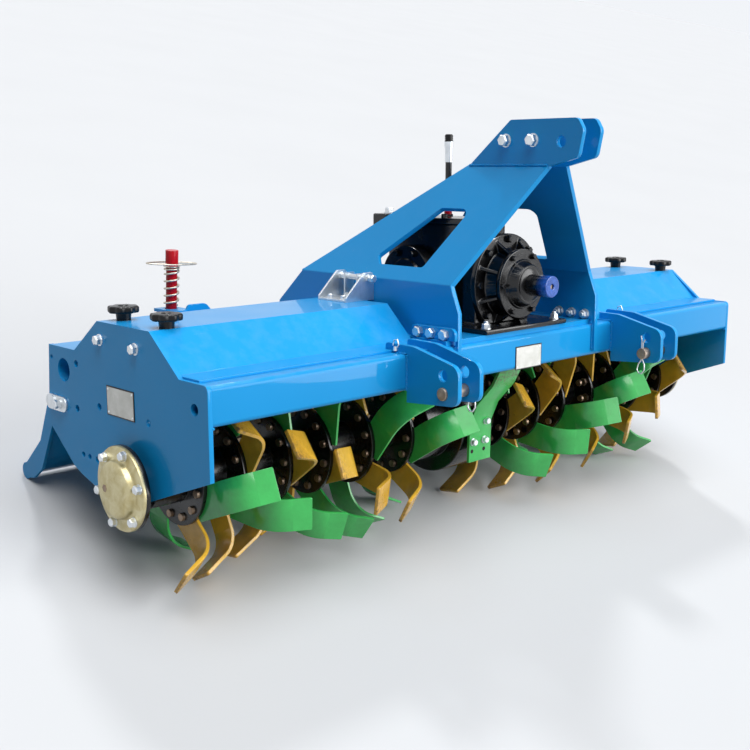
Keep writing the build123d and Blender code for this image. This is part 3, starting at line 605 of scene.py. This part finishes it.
class TILLER_OT_rotor_bolts(bpy.types.Operator):
    """Bolt the blades to the rotor flanges"""
    bl_idname = "tiller.rotor_bolts"
    bl_label = "Rotor bolts"

    def execute(self, context):
        sizes = context.scene.tiller_sizes
        circle, flats = in_mm(sizes.flange_bolt_circle), in_mm(sizes.flange_bolt_head)
        first_bolt = 35.0  # degrees from a flange's turn to its first bolt
        for side, flanges in (("left", LEFT_FLANGES), ("right", RIGHT_FLANGES)):
            bm = bmesh.new()
            for x, turn in flanges:
                for i in range(sizes.flange_bolts):
                    angle = math.radians(turn + first_bolt + i * 360 / sizes.flange_bolts)
                    y, z = polar(circle, angle)
                    head = facing((x - FLANGE_T / 2, y, z), (-1, 0, 0))
                    disc(bm, head, flats * 0.5, 6.0, flats * 0.44, 14)
                    nut = facing((x + FLANGE_T / 2 + FOOT_T, y, z), (1, 0, 0))
                    hex_bolt(bm, nut, flats, angle, stud=4.0)
            settle(bm, f"flange_bolts_{side}", "bolt", "rotor")
        return {"FINISHED"}


class TILLER_OT_end_bearings(bpy.types.Operator):
    """Press the bearing caps and screw them on"""
    bl_idname = "tiller.end_bearings"
    bl_label = "End bearings"

    def execute(self, context):
        profile = [(0.0, 26.4), (47.0, 26.4), (53.0, 25.4), (57.5, 22.6), (60.0, 18.0),
                   (60.6, 12.0), (62.0, 9.6), (64.5, 8.2), (84.5, 7.8), (88.0, 6.8), (89.0, 4.6),
                   (89.0, 0.2)]  # radius and height, from the crown to the rim
        crown, rim, bolt_circle = 25.4, 7.4, 77.0
        for side, name in ((-1, "left"), (1, "right")):
            outward = facing((side * BEARING_FACE, 0, 0), (side, 0, 0))
            bm = bmesh.new()
            verts = [bm.verts.new((radius, 0.0, height)) for radius, height in profile]
            edges = [bm.edges.new(pair) for pair in zip(verts, verts[1:])]
            bmesh.ops.spin(bm, geom=verts + edges, cent=(0, 0, 0), axis=(0, 0, 1), dvec=(0, 0, 0),
                           angle=2 * math.pi, steps=64, use_merge=True)
            bmesh.ops.remove_doubles(bm, verts=bm.verts, dist=0.001)
            bmesh.ops.transform(bm, matrix=outward, verts=bm.verts)
            cap = settle(bm, f"bearing_cap_{name}_pressed", "zinc")
            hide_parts(f"bearing_cap_{name}")
            bm = bmesh.new()
            for i in range(6):
                turn = math.radians(12 + 60 * i)
                spot = (*polar(bolt_circle, turn), rim)
                hex_bolt(bm, outward @ Matrix.Translation(spot), 17.0, turn * 1.7, 10.5)
            settle(bm, f"bearing_cap_bolts_{name}", "bright")
            bm = bmesh.new()
            quarter = Matrix.Rotation(math.radians(-90 * side), 4, "Z")
            plug = outward @ quarter @ Matrix.Translation((0.0, 27.0, crown))
            disc(bm, plug, 8.5, 1.4, segments=6)
            disc(bm, plug, 5.2, 1.5, 3.4, segments=18)
            settle(bm, f"bearing_plug_{name}", "bolt")
        return {"FINISHED"}


class TILLER_OT_mast_fittings(bpy.types.Operator):
    """Bolts, bends and weld beads of the mast"""
    bl_idname = "tiller.mast_fittings"
    bl_label = "Mast fittings"

    def execute(self, context):
        ear_face = MAST_TOP_X + PLATE_T / 2
        leg_inner, leg_outer = MAST_X - PLATE_T / 2, MAST_X + PLATE_T / 2
        bm = bmesh.new()
        for side in (-1, 1):
            for i, (y, z) in enumerate(EAR_BOLTS):
                hex_bolt(bm, facing((side * ear_face, y, z), (side, 0, 0)), 25.0, 0.4 + i, 15.5,
                         4.0 if side > 0 else 0.0)
        settle(bm, "mast_ear_bolts", "bright")
        bm = bmesh.new()
        for side in (-1, 1):
            foot_face = side * (leg_outer + FOOT_PLATE_T)
            for i, y in enumerate(FOOT_BOLT_Y):
                head = facing((foot_face, y, FOOT_BOLT_Z), (side, 0, 0))
                hex_bolt(bm, head, 22.0, 0.3 + i * 0.5)
                nut = facing((side * leg_inner, y, FOOT_BOLT_Z), (-side, 0, 0))
                hex_bolt(bm, nut, 20.0, 0.2 + i, 13.0, 5.0)
        settle(bm, "mast_foot_bolts", "bright")
        bm = bmesh.new()
        for side in (-1, 1):
            low_bend = facing((side * MAST_X, -246, MAST_BEND_Z), (0, 1, 0))
            disc(bm, low_bend, PLATE_T / 2, 516, segments=32)
            high_bend = facing((side * MAST_TOP_X, -335, MAST_EAR_Z), (0, 1, 0))
            disc(bm, high_bend, PLATE_T / 2, 241, segments=32)
        settle(bm, "mast_bends", "blue")
        bm = bmesh.new()
        for side in (-1, 1):
            x, z = side * (ear_face + 1.0), MAST_EAR_Z + 3
            weld_bead(bm, (x, -330, z), (x, -100, z), 3.4, 4.0)
            for x in (side * (leg_inner - 1), side * (leg_outer + 1)):
                weld_bead(bm, (x, BEAM_FRONT_Y - 1.5, 181), (x, BEAM_FRONT_Y - 1.5, 240), 3.0, 3.6)
            x, z = side * (leg_inner - 1), BEAM_TOP + 8.5
            weld_bead(bm, (x, -126, z), (x, 330, z), 3.0, 4.0)
        settle(bm, "mast_welds", "blue")
        return {"FINISHED"}


class TILLER_OT_hitch_fittings(bpy.types.Operator):
    """Clips, split pins and weld beads of the lower hitch"""
    bl_idname = "tiller.hitch_fittings"
    bl_label = "Hitch fittings"

    def execute(self, context):
        bm = bmesh.new()
        for side in (-1, 1):
            x = side * (HITCH_PLATES_X[1] - 21.0)
            y, z = HITCH_PIN_Y, HITCH_PIN_Z
            wire = 1.9
            wire_path(bm, [(x, y - wire, z - 16), (x, y - wire, z + 27), (x, y - 7, z + 36)], wire)
            wire_path(bm, [(x, y + wire, z - 16), (x, y + wire, z + 33), (x, y + 5, z + 45)], wire)
            eye = [(x, y - wire, z - 16), (x, y - 7, z - 27), (x, y - 8, z - 41),
                   (x, y - 1, z - 51), (x, y + 8, z - 51), (x, y + 14, z - 42),
                   (x, y + 10, z - 28), (x, y + wire, z - 16)]
            wire_path(bm, eye, wire)
        settle(bm, "hitch_pin_clips", "bright", smooth=60)
        bm = bmesh.new()
        for side in (-1, 1):
            x = side * 417.0
            loop = [(x, -232, 250), (x, -240, 262), (x, -236, 272), (x, -226, 270), (x, -222, 258)]
            wire_path(bm, loop, 1.8)
            disc(bm, facing((x, -230, BEAM_TOP), (0, 0, 1)), 6.0, 9.0, 4.5, 12)
        settle(bm, "hitch_split_pins", "bright", smooth=60)
        bm = bmesh.new()
        for side in (-1, 1):
            for x_plate in HITCH_PLATES_X:
                for face in (-7.0, 7.0):
                    x = side * x_plate + face
                    weld_bead(bm, (x, -264.0, 166), (x, -264.0, 240), 3.2, 3.6)
                    weld_bead(bm, (x, -258.0, 244.0), (x, -226.0, 244.0), 2.8, 3.6)
        settle(bm, "hitch_welds", "blue")
        return {"FINISHED"}


class TILLER_OT_gearbox_details(bpy.types.Operator):
    """Bolts, bosses, ribs and lid of the gearbox"""
    bl_idname = "tiller.gearbox_details"
    bl_label = "Gearbox details"

    def execute(self, context):
        forward = (0, -1, 0)
        up = (0, 0, 1)
        bm = bmesh.new()
        for i in range(8):
            turn = math.radians(i * 45)
            spot = (105 * math.sin(turn), COVER_FACE_Y, SHAFT_Z + 105 * math.cos(turn))
            if spot[2] > BASE_TOP + 5:  # the base hides the lowest bolt
                hex_bolt(bm, facing(spot, forward), 15.0, turn, 9.5)
        for i in range(6):
            turn = math.radians(30 + i * 60)
            spot = (73 * math.sin(turn), NOSE_FACE_Y, SHAFT_Z + 73 * math.cos(turn))
            hex_bolt(bm, facing(spot, forward), 12.0, turn, 8.0)
        for side in (-1, 1):
            for i in range(8):
                turn = math.radians(22.5 + i * 45)
                spot = (side * SIDE_COVER_X, SIDE_COVER_Y + 70 * math.sin(turn),
                        SHAFT_Z + 70 * math.cos(turn))
                hex_bolt(bm, facing(spot, (side, 0, 0)), 14.0, turn, 9.0)
        settle(bm, "gearbox_cover_bolts", "black")
        bm = bmesh.new()
        for side in (-1, 1):
            place = facing((side * SIDE_COVER_X, SIDE_COVER_Y, SHAFT_Z), (side, 0, 0))
            disc(bm, place, 54.0, 6.0, 50.0, 40)
            disc(bm, place @ raised(6.0), 34.0, 4.0, 30.0, 32)
        disc(bm, facing((0, NOSE_FACE_Y, SHAFT_Z), forward), 60.0, 5.0, 57.0, 48)
        disc(bm, facing((0, SEAL_FACE_Y, SHAFT_Z), forward), 40.0, 3.5, 33.0, 40)
        settle(bm, "gearbox_bosses", "black")
        bm = bmesh.new()
        for side in (-1, 1):
            for y in (-120.0, -60.0, 80.0):
                slab(bm, facing((side * HOUSING_X, y, 330.0), (side, 0, 0)), 12.0, 190.0, 14.0)
        for x in (-60.0, -10.0):
            slab(bm, facing((x, -155.0, 470.0), forward), 12.0, 56.0, 8.0)
        settle(bm, "gearbox_ribs", "black", smooth=20)
        bm = bmesh.new()
        for x in (-128.0, 128.0):
            for y in (-236.0, 128.0):
                hex_bolt(bm, facing((x, y, BASE_TOP), up), 17.0, x, 11.5, 5.0)
        hex_bolt(bm, facing((-105.0, 112.0, 522.0), up), 20.0, 0.2, 13.0)
        settle(bm, "gearbox_base_bolts", "bright")
        bm = bmesh.new()
        lid = slab(bm, facing((-37.5, -20.0, TURRET_TOP), up), 121.0, 276.0, LID_T)
        rim = list({edge for vert in lid for edge in vert.link_edges})
        round_off(bm, rim, 3.0, 3)
        for x in (-88.0, 13.0):
            for y in (-146.0, -62.0, 22.0, 106.0):
                hex_bolt(bm, facing((x, y, TURRET_TOP + LID_T), up), 13.0, x + y, 8.0)
        settle(bm, "gearbox_lid", "black")
        return {"FINISHED"}


class TILLER_OT_breather(bpy.types.Operator):
    """Fitting, seal, ferrule and cap of the gearbox's breather pipe"""
    bl_idname = "tiller.breather"
    bl_label = "Breather"

    def execute(self, context):
        def pipe(height):
            return facing((BREATHER_X, BREATHER_Y, height), (0, 0, 1))

        bm = bmesh.new()
        disc(bm, pipe(515), 13.0, 5.0, segments=6)
        settle(bm, "breather_fitting", "black")
        bm = bmesh.new()
        disc(bm, pipe(520), 10.0, 8.0, 9.4, 24)
        settle(bm, "breather_seal", "red")
        bm = bmesh.new()
        disc(bm, pipe(648), 9.4, 36.0)
        disc(bm, pipe(684), 11.2, 14.0)
        settle(bm, "breather_ferrule", "bright")
        bm = bmesh.new()
        for i in range(3):
            disc(bm, pipe(698 + 5.6 * i), 10.8, 4.4, 10.0, 24)
            disc(bm, pipe(702 + 5.6 * i), 9.0, 1.8)
        settle(bm, "breather_cap", "knob")
        return {"FINISHED"}


class TILLER_OT_guard_bolts(bpy.types.Operator):
    """Bolts on the guard ahead of the drive case, and near-black discs of painted shade where its
    holes are
    """
    bl_idname = "tiller.guard_bolts"
    bl_label = "Guard bolts"

    def execute(self, context):
        y_of = {14.0: -142.0, -34.0: -141.0, -58.0: -140.5}  # the guard's face at each height
        bm = bmesh.new()
        for x, z in ((-14.0, 14.0), (-60.0, -34.0), (-18.0, -34.0)):
            hex_bolt(bm, facing((x, y_of[z], z), (0, -1, 0)), 15.0, x, 9.5)
        settle(bm, "guard_bolts", "bright")
        # Near-black discs on the guard's face: painted shade where its holes are.
        bm = bmesh.new()
        for x, z in ((-60.0, 14.0), (-62.0, -58.0), (-18.0, -58.0)):
            disc(bm, facing((x, y_of[z] + 0.4, z), (0, -1, 0)), 5.2, 0.6, segments=16)
        settle(bm, "guard_hole_shades", "hole")
        return {"FINISHED"}


class TILLER_OT_spring_rods(bpy.types.Operator):
    """Coil springs, ring handles and pin ends of the tailboard's spring rods"""
    bl_idname = "tiller.spring_rods"
    bl_label = "Spring rods"

    def execute(self, context):
        sizes = context.scene.tiller_sizes
        run = Vector((0, ROD_SEAT[0] - ROD_EYE[0], ROD_SEAT[1] - ROD_EYE[1]))
        length = run.length
        wire = in_mm(sizes.coil_wire) / 2
        radius = SPRING_RADIUS - wire
        end_gap = 1.5  # between the coil and its seats
        open_rise = (SPRING_LENGTH - 2 * end_gap - 4 * wire) / sizes.coil_turns
        turn_steps, ring_steps = 28, 40
        half_ring = in_mm(sizes.ring_handle) / 2
        ring_lift, ring_lean, ring_squeeze, ring_wire = 5.0, 4.0, 0.36, 1.7
        for side, name in ((-1, "left"), (1, "right")):
            rod = facing((side * ROD_X, ROD_EYE[0], ROD_EYE[1]), run)
            body = f"spring_rod_{name}"
            bm = bmesh.new()
            points = []
            for i in range(int(turn_steps * (sizes.coil_turns + 1)) + 1):
                turn = i / turn_steps
                closed = max(turn - sizes.coil_turns, 0.0)
                height = length + end_gap + wire + (turn - closed) * open_rise + closed * 2 * wire
                points.append(rod @ Vector((*polar(radius, 2 * math.pi * turn), height)))
            wire_path(bm, points, wire, 10)
            coil = settle(bm, f"coil_spring_{name}", "spring", body, 70)
            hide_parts(f"rod_spring_{name}")
            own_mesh(coil)
            bm = bmesh.new()
            disc(bm, rod @ raised(length + SPRING_LENGTH - 0.4), 20.0, 2.4, segments=32)
            middle = rod @ raised(length + SPRING_LENGTH + 2.0)
            points = []
            for i in range(ring_steps):
                x, y = polar(1.0, 2 * math.pi * i / ring_steps)
                points.append(middle @ Vector((half_ring * x, ring_squeeze * half_ring * y,
                                               ring_lift + ring_lean * side * x)))
            wire_path(bm, points, ring_wire, closed=True)
            for end in (-1, 1):
                far = middle @ Vector((end * half_ring, 0, ring_lift + end * ring_lean * side))
                wire_path(bm, [far, middle @ Vector((end * 14, 0, ring_lift))], 1.6)
            settle(bm, f"spring_ring_{name}", "spring", body, 60)
            bm = bmesh.new()
            for ear in (-1, 1):
                clip = facing((side * ROD_X + ear * 18.5, ROD_EYE[0], ROD_EYE[1]), (ear, 0, 0))
                disc(bm, clip, 10.0, 2.0, segments=20)
                disc(bm, clip @ raised(2.0), 6.4, 5.0, 5.4, 16)
            settle(bm, f"rod_pin_ends_{name}", "bright", "tailboard")
        return {"FINISHED"}


class TILLER_OT_star_knobs(bpy.types.Operator):
    """Star knobs on the hood, and the washers under them"""
    bl_idname = "tiller.star_knobs"
    bl_label = "Star knobs"

    def execute(self, context):
        sizes = context.scene.tiller_sizes
        outer = in_mm(sizes.knob_radius)
        hub_radius, hub_height, star_height, washer_t = 15.0, 15.5, 14.5, 1.0
        bm = bmesh.new()
        for x, y in KNOBS:
            base = facing((x, y, DECK_TOP), (0, 0, 1))
            made = bmesh.ops.create_circle(bm, cap_ends=True, segments=72, radius=1.0)
            for vert in made["verts"]:
                turn = math.atan2(vert.co.y, vert.co.x)
                lobe = 0.5 + 0.5 * math.cos(sizes.knob_lobes * turn)
                vert.co *= outer * (0.87 + 0.13 * lobe ** 0.7)
            face = made["verts"][0].link_faces[0]
            top = bmesh.ops.extrude_face_region(bm, geom=[face])
            verts = [v for v in top["geom"] if isinstance(v, bmesh.types.BMVert)]
            bmesh.ops.translate(bm, verts=verts, vec=(0, 0, star_height))
            rim = [e for v in verts + made["verts"] for e in v.link_edges
                   if abs(e.verts[0].co.z - e.verts[1].co.z) < 0.1]
            faces = round_off(bm, list(dict.fromkeys(rim)), 4.0, 3)
            star = {v for f in faces for v in f.verts} | set(made["verts"]) | set(verts)
            bmesh.ops.transform(bm, matrix=base @ raised(hub_height),
                                verts=[v for v in star if v.is_valid])
            disc(bm, base @ raised(washer_t), hub_radius, hub_height, 16.5, 32)
            disc(bm, base @ raised(hub_height + star_height - 0.4), 12.0, 2.2, 9.6, 32)
        piece = settle(bm, "star_knobs", "knob", smooth=45)
        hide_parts("deck_knobs")
        bm = bmesh.new()
        for x, y in KNOBS:
            disc(bm, facing((x, y, DECK_TOP), (0, 0, 1)), 15.6, washer_t, segments=32)
        settle(bm, "knob_washers", "knob")
        return {"FINISHED"}


class TILLER_OT_hose_holder(bpy.types.Operator):
    """Pin bolts, inner tabs and base bolts of the hose holder"""
    bl_idname = "tiller.hose_holder"
    bl_label = "Hose holder fittings"

    def execute(self, context):
        x, z = HOLDER_X, HOLDER_PIN_Z
        bm = bmesh.new()
        for y, direction in ((-6.2, -1), (110.2, 1)):
            hex_bolt(bm, facing((x, y, z), (0, direction, 0)), 17.0, 0.3)
        for y in (0.2, 93.8):
            disc(bm, facing((x, y, z), (0, 1, 0)), 10.0, 10.0, segments=6)
        upright = Matrix.Rotation(-math.pi / 2, 4, "X")
        for y in (26.0, 70.0):
            slab(bm, Matrix.Translation((x, y, z - 14.0)) @ upright, 30.0, 48.0, 5.0)
        settle(bm, "hose_holder_pin_fittings", "bright")
        bm = bmesh.new()
        for x in (-336.0, -284.0):
            for y in (30.0, 76.0):
                hex_bolt(bm, facing((x, y, HOLDER_TOP), (0, 0, 1)), 11.0, x, 8.0)
        settle(bm, "hose_holder_base_bolts", "bright")
        return {"FINISHED"}


class TILLER_OT_plates(bpy.types.Operator):
    """Blank sign plates with their rivets"""
    bl_idname = "tiller.plates"
    bl_label = "Blank plates"

    def execute(self, context):
        border, rivet_inset = 2.5, 7.0
        rims, fields, rivets = bmesh.new(), bmesh.new(), bmesh.new()
        for middle, outward, width, height in (
                ((-HALF_WIDTH, 46, 164), (-1, 0, 0), 106.0, 62.0),
                ((HALF_WIDTH, 46, 164), (1, 0, 0), 106.0, 62.0),
                ((-3, BEAM_FRONT_Y, 190), (0, -1, 0), 97.0, 56.0)):
            across = Vector((0, 1, 0)) if outward[0] else Vector((1, 0, 0))
            turn = Matrix((across, Vector((0, 0, 1)), Vector(outward))).transposed().to_4x4()
            flat = Matrix.Translation(middle) @ turn
            slab(rims, flat, width, height, 1.2)
            slab(fields, flat @ raised(1.2), width - 2 * border, height - 2 * border, 0.5)
            for a in (-1, 1):
                for b in (-1, 1):
                    spot = (a * (width / 2 - rivet_inset), b * (height / 2 - rivet_inset), 1.6)
                    disc(rivets, flat @ Matrix.Translation(spot), 2.4, 1.0, 1.6, 12)
        settle(rims, "sign_plate_rims", "border", smooth=20)
        settle(fields, "sign_plate_fields", "plate", smooth=20)
        settle(rivets, "sign_plate_rivets", "bright")
        return {"FINISHED"}


class TILLER_OT_side_plate_fittings(bpy.types.Operator):
    """Bolts, hinge bolts and weld beads of the side plates"""
    bl_idname = "tiller.side_plate_fittings"
    bl_label = "Side plate fittings"

    def execute(self, context):
        bm = bmesh.new()
        for side in (-1, 1):
            for y, z in ((118.0, 287.0), (-19.0, 284.0)):
                hex_bolt(bm, facing((side * HALF_WIDTH, y, z), (side, 0, 0)), 19.0, y, 12.5)
            link = facing((side * (HALF_WIDTH + 6), HINGE_Y - 30.0, HINGE_Z), (side, 0, 0))
            hex_bolt(bm, link, 17.0, 0.2, 12.0)
            pin = facing((side * (HALF_WIDTH + 4), HINGE_Y, HINGE_Z), (side, 0, 0))
            disc(bm, pin @ raised(2.2), 15.5, 2.0, segments=28)
        settle(bm, "side_plate_bolts", "bright")
        tube_y, tube_z, tube_radius = 281.0, 202.0, 31.0
        bm = bmesh.new()
        for side in (-1, 1):
            inner = side * (HALF_WIDTH - 11.0)
            weld_bead(bm, (inner, BEAM_FRONT_Y + 1, 162), (inner, -195, 162), 3.4, 4.0)
            round_tube = []
            for turn in range(0, 361, 8):
                y, z = polar(tube_radius, math.radians(turn))
                round_tube.append((inner, tube_y + y, tube_z + z))
            for start, end in zip(round_tube, round_tube[1:]):
                weld_bead(bm, start, end, 3.0, 4.0)
        settle(bm, "side_plate_welds", "blue")
        return {"FINISHED"}


def backdrop_ray(tree):
    """1 where the camera, metal or glass looks at the backdrop, and 0 where it only lights."""
    path = add_node(tree, "ShaderNodeLightPath").outputs
    seen = path["Is Camera Ray"]
    for kind in ("Is Transmission Ray", "Is Glossy Ray"):
        seen = add_node(tree, "ShaderNodeMath", {0: seen, 1: path[kind]},
                        operation="MAXIMUM").outputs[0]
    return seen


class TILLER_OT_stage(bpy.types.Operator):
    """Floor, soft lights and the camera"""
    bl_idname = "tiller.stage"
    bl_label = "Stage"

    def execute(self, context):
        stage = context.scene.tiller_stage
        scene = context.scene
        scene.view_settings.view_transform = "Standard"

        material, tree, shader, place = new_material("pale_studio_floor")
        tone = between(tree, noise(tree, place, 900.0, 3.0), 0.3, 0.7)
        colour = blended(tree, tone, rgba(stage.floor, 0.99), rgba(stage.floor, 1.01))
        colour = blended(tree, backdrop_ray(tree), rgba(stage.floor, 0.40), colour)
        tree.links.new(colour, shader.inputs["Base Color"])
        shader.inputs["Roughness"].default_value = 0.9
        shader.inputs["Specular IOR Level"].default_value = 0.0
        bm = bmesh.new()
        bmesh.ops.create_circle(bm, cap_ends=True, segments=96, radius=60.0)
        mesh = bpy.data.meshes.new("studio_floor")
        bm.to_mesh(mesh)
        bm.free()
        mesh.materials.append(material)
        floor = bpy.data.objects.new("studio_floor", mesh)
        floor.location.z = -0.0006
        scene.collection.objects.link(floor)

        world = bpy.data.worlds.new("studio_sky")
        scene.world = world
        world.use_nodes = True
        sky = world.node_tree
        sky.nodes.clear()
        lit = add_node(sky, "ShaderNodeBackground",
                       {"Color": (0.96, 0.98, 1.0, 1.0), "Strength": 0.14})
        shown = add_node(sky, "ShaderNodeBackground",
                         {"Color": (0.937, 0.963, 1.0, 1.0), "Strength": 0.945})
        mixed = add_node(sky, "ShaderNodeMixShader",
                         {0: backdrop_ray(sky), 1: lit.outputs[0], 2: shown.outputs[0]})
        add_node(sky, "ShaderNodeOutputWorld", {"Surface": mixed.outputs[0]})

        for name, source, spread, power in (
                ("back_key", (0.45, 0.80, 1.05), 7.0, stage.key * 0.34),
                ("overhead_soft", (-0.12, -0.16, 1.00), 50.0, stage.key * 0.92),
                ("front_soft", (0.62, -1.00, 0.55), 45.0, stage.key)):
            lamp = bpy.data.lights.new(name, "SUN")
            lamp.energy = power
            lamp.angle = math.radians(spread)
            holder = bpy.data.objects.new(name, lamp)
            holder.location = Vector(source) * 4.0
            holder.rotation_euler = Vector(source).to_track_quat("Z", "Y").to_euler()
            scene.collection.objects.link(holder)

        lens = bpy.data.cameras.new("camera")
        lens.sensor_width = 36.0
        lens.lens = stage.focal
        lens.clip_end = 200.0
        camera = bpy.data.objects.new("camera", lens)
        yaw, down = CAMERA_YAW, CAMERA_DOWN
        forward = Vector((math.sin(yaw) * math.cos(down), math.cos(yaw) * math.cos(down),
                          -math.sin(down)))
        right = Vector((math.cos(yaw), -math.sin(yaw), 0.0))
        upper = right.cross(forward)
        pose = Matrix((right, upper, -forward)).transposed().to_4x4()
        camera.matrix_world = Matrix.Translation(PARK @ CAMERA_SPOT) @ LEAN @ pose
        scene.collection.objects.link(camera)
        scene.camera = camera
        return {"FINISHED"}


STEPS = (TILLER_OT_paintwork, TILLER_OT_rounded_edges, TILLER_OT_rotor_bolts,
         TILLER_OT_end_bearings, TILLER_OT_mast_fittings, TILLER_OT_hitch_fittings,
         TILLER_OT_gearbox_details, TILLER_OT_breather, TILLER_OT_guard_bolts,
         TILLER_OT_spring_rods, TILLER_OT_star_knobs, TILLER_OT_hose_holder, TILLER_OT_plates,
         TILLER_OT_side_plate_fittings, TILLER_OT_stage)


class TILLER_PT_panel(bpy.types.Panel):
    """The tiller's pieces, colours and sizes"""
    bl_idname = "TILLER_PT_panel"
    bl_label = "Rotary tiller"
    bl_space_type = "VIEW_3D"
    bl_region_type = "UI"
    bl_category = "Tiller"

    def draw(self, context):
        for group in GROUPS:
            values = getattr(context.scene, group)
            for name in values.__annotations__:
                self.layout.prop(values, name)
        for step in STEPS:
            self.layout.operator(step.bl_idname)


GROUPS = {"tiller_paints": TillerPaints, "tiller_sizes": TillerSizes, "tiller_stage": TillerStage}


def register():
    for name, group in GROUPS.items():
        bpy.utils.register_class(group)
        setattr(bpy.types.Scene, name, PointerProperty(type=group))
    for step in STEPS:
        bpy.utils.register_class(step)
    bpy.utils.register_class(TILLER_PT_panel)


def unregister():
    bpy.utils.unregister_class(TILLER_PT_panel)
    for step in reversed(STEPS):
        bpy.utils.unregister_class(step)
    for name, group in GROUPS.items():
        delattr(bpy.types.Scene, name)
        bpy.utils.unregister_class(group)


def main():
    register()
    for step in STEPS:
        group, name = step.bl_idname.split(".")
        getattr(getattr(bpy.ops, group), name)()


if __name__ == "__main__":
    main()
